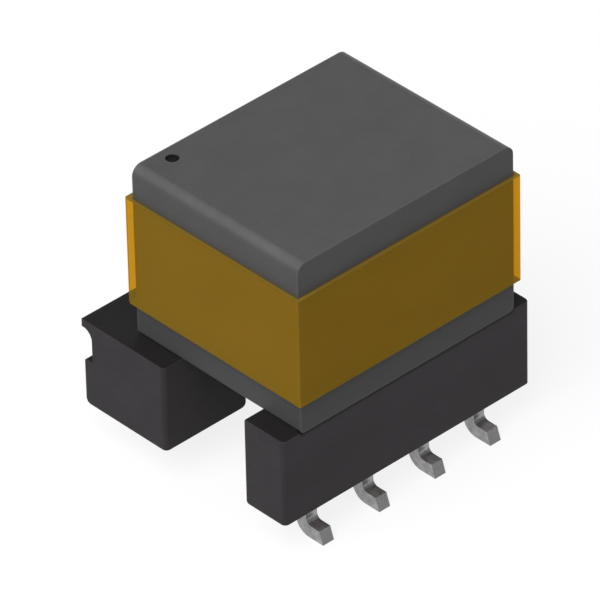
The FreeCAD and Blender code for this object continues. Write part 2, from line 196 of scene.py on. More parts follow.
class Effects:
    """The shader node groups that several finishes share. Each puts out one mask or tone."""

    def __init__(self) -> None:
        """Build each group once."""
        self.grain = self._grain()
        self.pores = self._pores()
        self.edges = self._edges()

    @staticmethod
    def _start(name: str, inputs: dict[str, float | Triple], output: str) -> tuple:
        """Open a group whose first input is Place, the surface point.

        Args:
            name: The group's name.
            inputs: Each other input's name with its first value, a number or a vector.
            output: The name of its one output, a number.

        Returns:
            The group, its sheet, its input node's sockets and its output socket.
        """
        group = bpy.data.node_groups.new(name, "ShaderNodeTree")
        for label, value in {"Place": (0.0, 0.0, 0.0), **inputs}.items():
            kind = "NodeSocketFloat" if isinstance(value, float) else "NodeSocketVector"
            socket = group.interface.new_socket(label, in_out="INPUT", socket_type=kind)
            socket.default_value = value
        group.interface.new_socket(output, in_out="OUTPUT", socket_type="NodeSocketFloat")
        sheet = NodeSheet(group)
        given = sheet.add("NodeGroupInput").outputs
        result = sheet.add("NodeGroupOutput").inputs[output]
        return group, sheet, given, result

    def _grain(self) -> bpy.types.NodeTree:
        """Cloudy tone from 0 to 1, with its cells per millimetre along each axis.

        Returns:
            The node group.
        """
        group, sheet, given, result = self._start("uneven_grain", {
            "Cells": (1.0, 1.0, 1.0),
            "Octaves": 3.0,
            "Softness": 0.3,
        }, "Tone")
        in_mm = sheet.vector("DIVIDE", given["Place"], (MM, MM, MM))
        cells = sheet.vector("MULTIPLY", in_mm, given["Cells"])
        noise = sheet.add("ShaderNodeTexNoise", {
            "Vector": cells, "Scale": 1.0, "Detail": given["Octaves"], "Roughness": 0.6})
        low = sheet.math("SUBTRACT", 0.5, given["Softness"])
        high = sheet.math("ADD", 0.5, given["Softness"])
        sheet.feed(result, sheet.spread(noise.outputs[0], low, high, 0.0, 1.0))
        return group

    def _pores(self) -> bpy.types.NodeTree:
        """Scattered round specks: 1 inside a speck and 0 outside, with a soft rim.

        Returns:
            The node group.
        """
        solid_share = 0.6
        group, sheet, given, result = self._start("scattered_pores", {
            "Spacing": 1.0,
            "Size": 0.2,
        }, "Mask")
        in_mm = sheet.vector("DIVIDE", given["Place"], (MM, MM, MM))
        wide = sheet.add("ShaderNodeCombineXYZ", {name: given["Spacing"] for name in "XYZ"})
        cells = sheet.vector("DIVIDE", in_mm, wide.outputs[0])
        speck = sheet.add("ShaderNodeTexVoronoi", {"Vector": cells, "Scale": 1.0})
        inside = sheet.scaled(given["Size"], solid_share)
        sheet.feed(result, sheet.spread(speck.outputs["Distance"], inside, given["Size"], 1.0, 0.0))
        return group

    def _edges(self) -> bpy.types.NodeTree:
        """Wear along the edges of a block: 1 on an edge, falling to 0 at the reach.

        The distance to the nearest edge of a block is the second smallest of the three
        distances from the point to the block's faces.

        Returns:
            The node group.
        """
        slack = 0.02 * MM
        group, sheet, given, result = self._start("worn_edges", {
            "Centre": (0.0, 0.0, 0.0),
            "Half": (MM, MM, MM),
            "Reach": 0.1 * MM,
        }, "Mask")
        offset = sheet.vector("ABSOLUTE", sheet.vector("SUBTRACT", given["Place"], given["Centre"]))
        room = sheet.vector("SUBTRACT", given["Half"], offset)
        across, along, upright = sheet.add("ShaderNodeSeparateXYZ", {0: room}).outputs
        low = sheet.math("MINIMUM", across, along)
        high = sheet.math("MAXIMUM", across, along)
        edge = sheet.math("MAXIMUM", low, sheet.math("MINIMUM", high, upright))
        inside = sheet.math("GREATER_THAN", sheet.math("MINIMUM", low, upright), -slack)
        ramp = sheet.spread(edge, 0.0, given["Reach"], 1.0, 0.0)
        sheet.feed(result, sheet.math("MULTIPLY", ramp, inside))
        return group


class MaterialSheet(NodeSheet):
    """The node sheet of one new material."""

    def __init__(self, name: str) -> None:
        """Make an empty node material of the given name."""
        self.material = bpy.data.materials.new(name)
        self.material.use_nodes = True
        super().__init__(self.material.node_tree)

    def finish(self, shader: bpy.types.Node) -> bpy.types.Material:
        """Make a shader the material's surface.

        Args:
            shader: The node whose first output is the surface.

        Returns:
            The material.
        """
        output = self.add("ShaderNodeOutputMaterial")
        self.feed(output.inputs["Surface"], shader.outputs[0])
        return self.material


class Paint(MaterialSheet):
    """The sheet of one finish, with the shared effects and the surface point at hand.

    The surface point is in the part's own frame, in metres.
    """

    def __init__(self, name: str, effects: Effects) -> None:
        """Start an empty finish.

        Args:
            name: The material's name.
            effects: The shared node groups.
        """
        super().__init__(name)
        self.effects = effects
        self.place = self.add("ShaderNodeTexCoord").outputs["Object"]

    def at(self, axis: str) -> Socket:
        """The surface point's place along an axis."""
        return self.part(self.place, axis)

    def facing(self, axis: str) -> Socket:
        """How far the flat face looks along an axis, from -1 to 1."""
        return self.part(self.add("ShaderNodeNewGeometry").outputs["True Normal"], axis)


@dataclass(frozen=True)
class Grain:
    """A cloudy pattern: its cells per millimetre along each axis, its octaves and its softness."""

    cells: Triple
    octaves: float
    softness: float

    def on(self, paint: Paint) -> Socket:
        """The pattern's tone at the surface point, from 0 to 1."""
        return paint.effect(paint.effects.grain, {
            "Place": paint.place, "Cells": self.cells, "Octaves": self.octaves,
            "Softness": self.softness})


@dataclass(frozen=True)
class Specks:
    """Scattered round specks: their spacing in millimetres, and their radius as a share of it."""

    spacing: float
    size: float

    def on(self, paint: Paint) -> Socket:
        """The mask of the specks at the surface point, 1 inside them."""
        return paint.effect(paint.effects.pores, {
            "Place": paint.place, "Spacing": self.spacing, "Size": self.size})


@dataclass(frozen=True)
class Relief:
    """How far a pattern of heights stands out: its strength, and its depth in metres."""

    strength: float
    depth: float

    def on(self, paint: Paint, height: Socket) -> Socket:
        """The surface's direction with the pattern raised on it."""
        bump = paint.add("ShaderNodeBump", {
            "Height": height, "Strength": self.strength, "Distance": self.depth})
        return bump.outputs[0]


@dataclass(frozen=True)
class Block:
    """A block of space, in metres, whose edges a finish may wear."""

    low: Vector
    high: Vector

    @property
    def centre(self) -> Vector:
        """The block's middle."""
        return (self.low + self.high) / 2

    @property
    def half(self) -> Vector:
        """Half of the block's size along each axis."""
        return (self.high - self.low) / 2

    def offset(self, paint: Paint) -> Socket:
        """How far the surface point lies from the block's middle along each axis."""
        return paint.vector("ABSOLUTE", paint.vector("SUBTRACT", paint.place, self.centre))

    def worn(self, paint: Paint, reach: float) -> Socket:
        """The mask of wear along the block's edges, as far in as the reach."""
        return paint.effect(paint.effects.edges, {
            "Place": paint.place, "Centre": self.centre, "Half": self.half, "Reach": reach})


@dataclass(frozen=True)
class SinteredFerrite:
    """Pressed and sintered ferrite: dull grey, mottled, with fine pores, paler worn edges, a
    painted highlight along the long rounded top edges, painted shade low down and a near black dot.
    """

    block: Block

    dark: Colour = (0.069, 0.069, 0.0695)
    pale: Colour = (0.082, 0.082, 0.083)
    # Dark for the pores, and also for the painted shade low on the core near its foot.
    pore_and_low_shade: Colour = (0.035, 0.035, 0.036)
    # Pale for the real worn edges, and also for the painted highlight along the long rounded top
    # edges.
    worn: Colour = (0.135, 0.135, 0.138)
    # Near black for the dot: its own dark mark together with painted shade of its recess.
    mark_and_recess_shade: Colour = (0.011, 0.011, 0.012)

    cloud: Grain = Grain((0.7, 0.7, 0.7), 3.0, 0.25)
    grain: Grain = Grain((22.0, 22.0, 22.0), 4.0, 0.3)
    pores: Specks = Specks(0.22, 0.17)
    cloud_share: float = 0.55
    grain_share: float = 0.45
    pore_share: float = 0.4
    grain_height: float = 0.5
    relief: Relief = Relief(0.35, 0.006 * MM)
    roughness: Span = (0.44, 0.54)
    gloss: float = 0.12

    wear_reach: float = 0.07 * MM
    wear_share: float = 0.6
    # Painted highlight along the long rounded top edges: the rounding's radius, and the highlight's
    # fade, shares and lean.
    round_reach: float = 0.38 * MM
    highlight_fade: float = 1.03
    highlight_shares: Span = (0.28, 0.42)
    highlight_lean: float = 1.4
    # Painted shade low on the core: its share, and where it starts and ends above the foot.
    low_shade_share: float = 0.4
    low_shade_start: float = 1.0 * MM
    low_shade_end: float = 1.8 * MM
    mark_side_inset: float = 1.25 * MM
    mark_rear_inset: float = 0.55 * MM
    mark_reach: float = 0.3 * MM
    mark_floor: float = 0.03 * MM

    def material(self, effects: Effects) -> bpy.types.Material:
        """The finish as a node material.

        Args:
            effects: The shared node groups.

        Returns:
            The material.
        """
        paint = Paint("sintered_ferrite", effects)
        cloud = self.cloud.on(paint)
        grain = self.grain.on(paint)
        pores = self.pores.on(paint)
        edges = self.block.worn(paint, self.wear_reach)
        tone = paint.weighted((cloud, self.cloud_share), (grain, self.grain_share))
        body = paint.blend(tone, self.dark, self.pale)
        # Painted shade, darker towards the core's foot where the tape and rails shade it.
        low_shaded = paint.blend(self._painted_low_shade(paint), body, self.pore_and_low_shade)
        pitted = paint.blend(paint.scaled(pores, self.pore_share), low_shaded, self.pore_and_low_shade)
        chafed = paint.math("MULTIPLY", edges, paint.scaled(grain, self.wear_share))
        # Real edge wear together with the painted highlight along the long rounded top edges.
        rubbed = paint.math("MAXIMUM", chafed, self._painted_highlight(paint, cloud))
        plain = paint.blend(rubbed, pitted, self.worn)
        # The dot's floor painted near black: its own dark mark and painted shade of its recess.
        colour = paint.blend(self._mark(paint), plain, self.mark_and_recess_shade)
        height = paint.math("SUBTRACT", paint.scaled(grain, self.grain_height), pores)
        shader = paint.add("ShaderNodeBsdfPrincipled", {
            "Base Color": colour, "Normal": self.relief.on(paint, height),
            "Roughness": paint.spread(grain, 0.0, 1.0, *self.roughness),
            "Specular IOR Level": self.gloss})
        return paint.finish(shader)

    def _painted_low_shade(self, paint: Paint) -> Socket:
        """The share of painted shade, fading upwards from the core's foot."""
        low = self.block.low.z
        return paint.spread(paint.at("Z"), low + self.low_shade_start, low + self.low_shade_end,
                            self.low_shade_share, 0.0)

    def _painted_highlight(self, paint: Paint, cloud: Socket) -> Socket:
        """The share of the painted highlight on the two long rounded top edges.

        side + lean * drop, from a point's distances to the block's side and to its top, is least
        along the rounding's painted highlight line, at (1 + lean - sqrt(1 + lean^2)) times its
        radius.

        Args:
            paint: The sheet of the finish.
            cloud: The cloudy tone that makes the painted highlight uneven.

        Returns:
            The output with the share.
        """
        room = paint.vector("SUBTRACT", self.block.half, self.block.offset(paint))
        side = paint.part(room, "X")
        drop = paint.math("SUBTRACT", self.block.high.z, paint.at("Z"))
        total = paint.math("ADD", side, paint.scaled(drop, self.highlight_lean))
        least = (1 + self.highlight_lean - math.hypot(1, self.highlight_lean)) * self.round_reach
        ramp = paint.spread(total, least, self.highlight_fade * self.round_reach, 1.0, 0.0)
        return paint.math("MULTIPLY", ramp, paint.spread(cloud, 0.0, 1.0, *self.highlight_shares))

    def _mark(self, paint: Paint) -> Socket:
        """Find the recessed round dot in the core's top.

        Args:
            paint: The sheet of the finish.

        Returns:
            The output with the mask: 1 inside the dot, 0 elsewhere.
        """
        low, high = self.block.low, self.block.high
        middle = (low.x + self.mark_side_inset, high.y - self.mark_rear_inset, 0.0)
        flat = paint.vector("MULTIPLY", paint.place, (1.0, 1.0, 0.0))
        reach = paint.add("ShaderNodeVectorMath", {0: flat, 1: middle}, operation="DISTANCE")
        near = paint.math("LESS_THAN", reach.outputs["Value"], self.mark_reach)
        upright = paint.at("Z")
        sunk = paint.math("LESS_THAN", upright, high.z - self.mark_floor)
        above = paint.math("GREATER_THAN", upright, (low.z + high.z) / 2)
        return paint.math("MULTIPLY", near, paint.math("MULTIPLY", sunk, above))


@dataclass(frozen=True)
class MouldedFormer:
    """Moulded plastic: near black, with a fine mould grain and slightly rubbed rail edges.

    Painted shade darkens upward faces, coming in over a range of the face's lean, and a painted
    shadow is the dark line right below the core, both in the painted shade colour.
    """

    front_rail: Block
    rear_rail: Block
    core: Block

    dark: Colour = (0.0275, 0.0247, 0.027)
    pale: Colour = (0.0365, 0.0328, 0.036)
    worn: Colour = (0.058, 0.053, 0.057)
    # Painted shade colour: for the upward faces and for the line right below the core.
    painted_shade: Colour = (0.008, 0.0075, 0.008)

    flow: Grain = Grain((0.25, 0.8, 0.8), 2.0, 0.25)
    grain: Grain = Grain((16.0, 16.0, 16.0), 3.0, 0.28)
    glints: Specks = Specks(0.16, 0.11)
    flow_share: float = 0.6
    grain_share: float = 0.4
    glint_share: float = 0.5
    relief: Relief = Relief(0.3, 0.006 * MM)
    roughness: Span = (0.46, 0.6)
    gloss: float = 0.12

    wear_reach: float = 0.05 * MM
    wear_share: float = 0.8
    # Painted shade on upward faces: the lean over which it comes in, and its share.
    top_shade_lean: Span = (0.6, 1.0)
    top_shade_share: float = 0.7
    # Painted shadow line below the core: its reach down the face, its fade and its share.
    shadow_line_reach: float = 0.2 * MM
    shadow_line_fade: float = 0.3
    shadow_line_share: float = 1.0

    def material(self, effects: Effects) -> bpy.types.Material:
        """The finish as a node material.

        Args:
            effects: The shared node groups.

        Returns:
            The material.
        """
        paint = Paint("moulded_former", effects)
        flow = self.flow.on(paint)
        grain = self.grain.on(paint)
        glints = self.glints.on(paint)
        edges = paint.math("MAXIMUM", *[rail.worn(paint, self.wear_reach)
                                        for rail in (self.front_rail, self.rear_rail)])
        tone = paint.weighted((flow, self.flow_share), (grain, self.grain_share))
        body = paint.blend(tone, self.dark, self.pale)
        flecked = paint.blend(paint.scaled(glints, self.glint_share), body, self.worn)
        rubbed = paint.math("MULTIPLY", edges, paint.scaled(grain, self.wear_share))
        edged = paint.blend(rubbed, flecked, self.worn)
        # Painted shade on upward faces.
        painted_shade = paint.spread(paint.facing("Z"), *self.top_shade_lean, 0.0, self.top_shade_share)
        top_shaded = paint.blend(painted_shade, edged, self.painted_shade)
        # Painted shadow: the dark line right below the core's edge.
        colour = paint.blend(self._painted_shadow_line(paint), top_shaded, self.painted_shade)
        shader = paint.add("ShaderNodeBsdfPrincipled", {
            "Base Color": colour, "Normal": self.relief.on(paint, grain),
            "Roughness": paint.spread(grain, 0.0, 1.0, *self.roughness),
            "Specular IOR Level": self.gloss})
        return paint.finish(shader)

    def _painted_shadow_line(self, paint: Paint) -> Socket:
        """Find the painted shadow: a dark line on the front rail's face, right below the core's
        edge.

        Args:
            paint: The sheet of the finish.

        Returns:
            The output with the line's share.
        """
        across, along, upright = paint.add("ShaderNodeSeparateXYZ", {0: paint.place}).outputs
        top = self.front_rail.high.z
        ramp = paint.spread(upright, top - self.shadow_line_reach, top - self.shadow_line_fade * self.shadow_line_reach,
                            0.0, self.shadow_line_share)
        beside = paint.math("ABSOLUTE", paint.math("SUBTRACT", across, self.core.centre.x))
        below = paint.math("LESS_THAN", beside, self.core.half.x)
        outside = paint.math("LESS_THAN", along, self.front_rail.low.y + self.shadow_line_reach)
        return paint.math("MULTIPLY", ramp, paint.math("MULTIPLY", below, outside))


@dataclass(frozen=True)
class AmberFilm:
    """Clear amber polyester film: part of the light passes, tinted at each surface it crosses. Its
    cut faces carry painted shade.
    """

    band: Block
    core: Block

    base: Colour = (0.465, 0.33, 0.03)
    thick: Colour = (0.42, 0.293, 0.024)
    # Painted shade: darker colours for the film's top and bottom cut faces.
    shaded_top_edge: Colour = (0.2, 0.13, 0.018)
    shaded_bottom_edge: Colour = (0.14, 0.115, 0.02)
    # Painted shade: a dark line along the top cut face right beside the core.
    edge_shade: Colour = (0.09, 0.062, 0.028)
    tint: Colour = (0.93, 0.6, 0.02)

    drawn: Grain = Grain((0.25, 0.25, 7.0), 3.0, 0.25)
    swell: Grain = Grain((0.45, 0.45, 0.6), 1.0, 0.3)
    bubbles: Specks = Specks(0.7, 0.05)
    drawn_share: float = 0.2
    swell_share: float = 0.5
    bubble_share: float = 0.3
    drawn_height: float = 0.06
    relief: Relief = Relief(0.1, 0.02 * MM)
    roughness: float = 0.24
    gloss: float = 0.06

    body: float = 0.34
    edge_body: float = 0.9
    edge_lean: Span = (0.5, 0.9)
    # Painted shade line along the top cut beside the core: where it starts to fade and where it
    # ends.
    edge_shade_start: float = 0.02 * MM
    edge_shade_end: float = 0.07 * MM

    def material(self, effects: Effects) -> bpy.types.Material:
        """The finish as a node material.

        Args:
            effects: The shared node groups.

        Returns:
            The material.
        """
        paint = Paint("amber_film", effects)
        drawn = self.drawn.on(paint)
        swell = self.swell.on(paint)
        bubbles = self.bubbles.on(paint)
        tone = paint.weighted((drawn, self.drawn_share), (swell, self.swell_share))
        body = paint.blend(tone, self.base, self.thick)
        face = paint.blend(paint.scaled(bubbles, self.bubble_share), body, self.tint)
        upright = paint.math("ABSOLUTE", paint.facing("Z"))
        cut = paint.spread(upright, *self.edge_lean, 0.0, 1.0)
        above = paint.math("GREATER_THAN", paint.at("Z"), self.band.centre.z)
        # Painted shade on the cut faces: darker top and bottom cut colours, with a painted dark
        # line along the top cut beside the core.
        top = paint.blend(self._painted_edge_shade(paint), self.shaded_top_edge, self.edge_shade)
        edge = paint.blend(above, self.shaded_bottom_edge, top)
        colour = paint.blend(cut, face, edge)
        cloudy = paint.spread(cut, 0.0, 1.0, self.body, self.edge_body)
        ripple = paint.math("ADD", paint.scaled(drawn, self.drawn_height), swell)
        film = paint.add("ShaderNodeBsdfPrincipled", {
            "Base Color": colour, "Normal": self.relief.on(paint, ripple),
            "Roughness": self.roughness, "Specular IOR Level": self.gloss})
        clear = paint.add("ShaderNodeBsdfTransparent", {"Color": self.tint})
        mix = paint.add("ShaderNodeMixShader", {0: cloudy, 1: clear.outputs[0], 2: film.outputs[0]})
        return paint.finish(mix)

    def _painted_edge_shade(self, paint: Paint) -> Socket:
        """Find the painted shade along the film's top cut edge, next to the core.

        Args:
            paint: The sheet of the finish.

        Returns:
            The output with the painted shade's share: 1 beside the core's faces, 0 past its end.
        """
        past = paint.vector("SUBTRACT", self.core.offset(paint), self.core.half)
        across, along, _ = paint.add("ShaderNodeSeparateXYZ", {0: past}).outputs
        beside = paint.math("MAXIMUM", across, along)
        return paint.spread(beside, self.edge_shade_start, self.edge_shade_end, 1.0, 0.0)


@dataclass(frozen=True)
class CoilFilm:
    """Yellow film wound over the coil, with the turns beneath it showing as soft ribs, and painted
    shade in the valleys between them.
    """

    base: Colour = (0.56, 0.36, 0.045)
    thick: Colour = (0.44, 0.25, 0.03)
    swell: Grain = Grain((0.8, 0.8, 0.8), 2.0, 0.3)
    rib_pitch: float = 0.22 * MM
    # Share of painted shade in the valleys between the ribs.
    valley_shade_share: float = 0.6
    relief: Relief = Relief(0.4, 0.03 * MM)
    roughness: float = 0.3
    gloss: float = 0.35

    def material(self, effects: Effects) -> bpy.types.Material:
        """The finish as a node material.

        Args:
            effects: The shared node groups.

        Returns:
            The material.
        """
        paint = Paint("coil_film", effects)
        along = paint.at("Y")
        swell = self.swell.on(paint)
        phase = paint.scaled(along, math.tau / self.rib_pitch)
        # Half of the sine plus a half runs from 0 in a valley to 1 on a rib
        ribs = paint.math("ADD", paint.scaled(paint.math("SINE", phase), 0.5), 0.5)
        # Painted shade in the valleys between the ribs.
        valley_shade = paint.scaled(paint.math("SUBTRACT", 1.0, ribs), self.valley_shade_share)
        body = paint.blend(swell, self.base, self.thick)
        colour = paint.blend(valley_shade, body, self.thick)
        shader = paint.add("ShaderNodeBsdfPrincipled", {
            "Base Color": colour, "Normal": self.relief.on(paint, ribs),
            "Roughness": self.roughness, "Specular IOR Level": self.gloss})
        return paint.finish(shader)


@dataclass(frozen=True)
class EnamelledCopper:
    """Copper wire under clear enamel, a little darker here and there."""

    base: Colour = (0.78, 0.31, 0.12)
    dark: Colour = (0.5, 0.16, 0.06)
    cloud: Grain = Grain((2.0, 2.0, 2.0), 3.0, 0.3)
    drawn: Grain = Grain((30.0, 30.0, 30.0), 2.0, 0.3)
    relief: Relief = Relief(0.15, 0.003 * MM)
    roughness: Span = (0.22, 0.36)
    enamel: float = 0.6
    enamel_roughness: float = 0.12

    def material(self, effects: Effects) -> bpy.types.Material:
        """The finish as a node material.

        Args:
            effects: The shared node groups.

        Returns:
            The material.
        """
        paint = Paint("enamelled_copper", effects)
        cloud = self.cloud.on(paint)
        drawn = self.drawn.on(paint)
        colour = paint.blend(cloud, self.base, self.dark)
        shader = paint.add("ShaderNodeBsdfPrincipled", {
            "Base Color": colour, "Metallic": 1.0, "Normal": self.relief.on(paint, drawn),
            "Roughness": paint.spread(drawn, 0.0, 1.0, *self.roughness),
            "Coat Weight": self.enamel, "Coat Roughness": self.enamel_roughness})
        return paint.finish(shader)


@dataclass(frozen=True)
class TinPlate:
    """Dull tin plate on drawn wire: fine streaks along the wire and cloudy patches."""

    pale: Colour = (0.46, 0.455, 0.465)
    dark: Colour = (0.2, 0.197, 0.203)
    sheared: Colour = (0.15, 0.148, 0.152)
    streaks: Grain = Grain((26.0, 5.0, 5.0), 3.0, 0.28)
    cloud: Grain = Grain((4.0, 4.0, 4.0), 3.0, 0.3)
    streak_share: float = 0.5
    cloud_share: float = 0.5
    foot_height: float = 0.55 * MM
    sheared_lean: Span = (0.75, 0.95)
    sheared_share: float = 0.7
    relief: Relief = Relief(0.45, 0.006 * MM)
    metallic: float = 0.75
    roughness: Span = (0.26, 0.38)

    def material(self, effects: Effects) -> bpy.types.Material:
        """The finish as a node material.

        Args:
            effects: The shared node groups.

        Returns:
            The material.
        """
        paint = Paint("tin_plate", effects)
        streaks = self.streaks.on(paint)
        cloud = self.cloud.on(paint)
        tone = paint.weighted((streaks, self.streak_share), (cloud, self.cloud_share))
        plated = paint.blend(tone, self.dark, self.pale)
        outward = paint.math("ABSOLUTE", paint.facing("Y"))
        low = paint.math("LESS_THAN", paint.at("Z"), self.foot_height)
        tip = paint.spread(outward, *self.sheared_lean, 0.0, self.sheared_share)
        colour = paint.blend(paint.math("MULTIPLY", low, tip), plated, self.sheared)
        shader = paint.add("ShaderNodeBsdfPrincipled", {
            "Base Color": colour, "Metallic": self.metallic,
            "Normal": self.relief.on(paint, streaks),
            "Roughness": paint.spread(cloud, 0.0, 1.0, *self.roughness)})
        return paint.finish(shader)


def dress(name: str, material: bpy.types.Material) -> None:
    """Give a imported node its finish, with its mesh as it is.

    Args:
        name: The node's name.
        material: The finish.
    """
    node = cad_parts[name]
    node.data.materials.clear()
    node.data.materials.append(material)
    LOG.info("%s dressed with %s", name, material.name)


def steady_side(tangents: np.ndarray) -> np.ndarray:
    """A direction that no part of a path runs along.

    The candidates are spread over a hemisphere by the golden angle, and the one whose largest
    cosine with any tangent is the smallest is taken.

    Args:
        tangents: Unit tangents of the path, one in each row.

    Returns:
        One unit vector.
    """
    count = 60
    step = np.arange(count)
    height = (step + 0.5) / count
    turn = step * math.pi * (3 - math.sqrt(5))
    ring = np.sqrt(1 - height**2)
    options = np.stack([ring * np.cos(turn), ring * np.sin(turn), height], axis=1)
    return options[np.abs(options @ tangents.T).max(axis=1).argmin()]


def round_wire(path: np.ndarray, radius: float, sides: int) -> tuple[np.ndarray, np.ndarray]:
    """A round wire along a path, closed at both ends.

    Ring point = path point + radius * (cos a * side + sin a * up), where side and up are square
    to the path's tangent. Each end is closed by one point pushed out by half a radius.

    Args:
        path: Points along the wire's middle, in metres, one in each row.
        radius: The wire's radius in metres.
        sides: How many points each ring has.

    Returns:
        The vertices, and the triangles as rows of vertex numbers.
    """
    tangents = np.gradient(path, axis=0)
    tangents /= np.linalg.norm(tangents, axis=1, keepdims=True)
    side = np.cross(tangents, steady_side(tangents))
    side /= np.linalg.norm(side, axis=1, keepdims=True)
    up = np.cross(tangents, side)
    angle = np.arange(sides) * math.tau / sides
    cosine, sine = np.cos(angle)[None, :, None], np.sin(angle)[None, :, None]
    rings = path[:, None] + radius * (cosine * side[:, None] + sine * up[:, None])
    tips = np.stack([path[0] - tangents[0] * radius / 2, path[-1] + tangents[-1] * radius / 2])
    vertices = np.concatenate([rings.reshape(-1, 3), tips])

    count = len(path)
    start = np.arange(count - 1)[:, None] * sides
    here = np.arange(sides)[None]
    after = (here + 1) % sides
    above = start + sides
    quads = np.stack([start + here, start + after, above + after, above + here], axis=-1)
    quads = quads.reshape(-1, 4)
    walls = np.concatenate([quads[:, [0, 1, 2]], quads[:, [0, 2, 3]]])
    ring = np.arange(sides)
    following = (ring + 1) % sides
    first = np.stack([following, ring, np.full(sides, count * sides)], axis=1)
    offset = (count - 1) * sides
    last = np.stack([offset + ring, offset + following, np.full(sides, count * sides + 1)], axis=1)
    return vertices, np.concatenate([walls, first, last])


def eased(corners: np.ndarray, ease: float, steps: int) -> np.ndarray:
    """A path through corners with each bend eased by a quadratic curve.

    A bend at corner c runs from a = c - ease * way in to b = c + ease * way out as
    (1 - t)^2 a + 2 t (1 - t) c + t^2 b. The ease takes a little under half of the shorter run
    at most, so that two bends never meet.

    Args:
        corners: The corners, one in each row, ends included.
        ease: How far before and after a corner its bend reaches, in metres.
        steps: How many points each bend has.

    Returns:
        The points of the path.
    """
    most_of_run = 0.45
    runs = np.diff(corners, axis=0)
    lengths = np.linalg.norm(runs, axis=1)
    ways = runs / lengths[:, None]
    shorter = np.minimum(lengths[:-1], lengths[1:])
    reach = np.minimum(ease, most_of_run * shorter)[:, None, None]
    middle = corners[1:-1, None]
    begin = middle - reach * ways[:-1, None]
    end = middle + reach * ways[1:, None]
    t = np.linspace(0, 1, steps)[None, :, None]
    bends = (1 - t) ** 2 * begin + 2 * t * (1 - t) * middle + t**2 * end
    return np.concatenate([corners[:1], bends.reshape(-1, 3), corners[-1:]])


def add_piece(name: str, parts: list[tuple[np.ndarray, np.ndarray]],
              material: bpy.types.Material) -> bpy.types.Object:
    """Make one smooth-shaded piece from meshes given as arrays.

    Args:
        name: The piece's name.
        parts: Vertices in metres and triangles, for each part of the piece.
        material: Its finish.

    Returns:
        The new object, riding on the part's one body.
    """
    starts = np.cumsum([0] + [len(vertices) for vertices, _ in parts[:-1]])
    vertices = np.concatenate([vertices for vertices, _ in parts])
    faces = np.concatenate([faces + start for (_, faces), start in zip(parts, starts)])
    mesh = bpy.data.meshes.new(name)
    mesh.from_pydata(vertices.tolist(), [], faces.tolist())
    mesh.shade_smooth()
    mesh.materials.append(material)
    piece = bpy.data.objects.new(name, mesh)
    bpy.context.scene.collection.objects.link(piece)
    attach(piece, "root")
    LOG.info("%s: %d triangles", name, len(faces))
    return piece


def block_of(name: str) -> Block:
    """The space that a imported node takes."""
    low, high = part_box(name)
    return Block(low, high)


@dataclass
class Core:
    """The two ferrite halves and the film band that holds them."""

    halves: tuple[str, ...] = ("core_half_front", "core_half_rear")
    band: str = "core_tape"

    def block(self) -> Block:
        """The space of both halves together."""
        front, rear = (block_of(name) for name in self.halves)
        return Block(Vector(map(min, front.low, rear.low)),
                     Vector(map(max, front.high, rear.high)))

    def dress(self, effects: Effects) -> None:
        """Give the halves and the band their finishes.

        Args:
            effects: The shared node groups.
        """
        ferrite = SinteredFerrite(self.block()).material(effects)
        for name in self.halves:
            dress(name, ferrite)
        dress(self.band, AmberFilm(block_of(self.band), self.block()).material(effects))


@dataclass
class Former:
    """The moulded coil former and its eight leads."""

    name: str = "bobbin"
    front_width: float = 1.79 * MM
    rear_width: float = 3.815 * MM
    rail_height: float = 3.31 * MM
    lip_reach: float = 0.09 * MM
    lead_count: int = 8

    def rails(self) -> tuple[Block, Block]:
        """Find the two rails in the moulding's space.

        Returns:
            The spaces of the front rail and the rear rail.
        """
        whole = block_of(self.name)
        top = whole.low.z + self.rail_height
        front = Block(whole.low, Vector((whole.high.x, whole.low.y + self.front_width, top)))
        back = whole.high.y - self.lip_reach
        rear = Block(Vector((whole.low.x, back - self.rear_width, whole.low.z)),
                     Vector((whole.high.x, back, top)))
        return front, rear

    def dress(self, effects: Effects) -> None:
        """Give the moulding and the leads their finishes.

        Args:
            effects: The shared node groups.
        """
        dress(self.name, MouldedFormer(*self.rails(), Core().block()).material(effects))
        tin = TinPlate().material(effects)
        for number in range(self.lead_count):
            dress(f"lead_{number + 1}", tin)


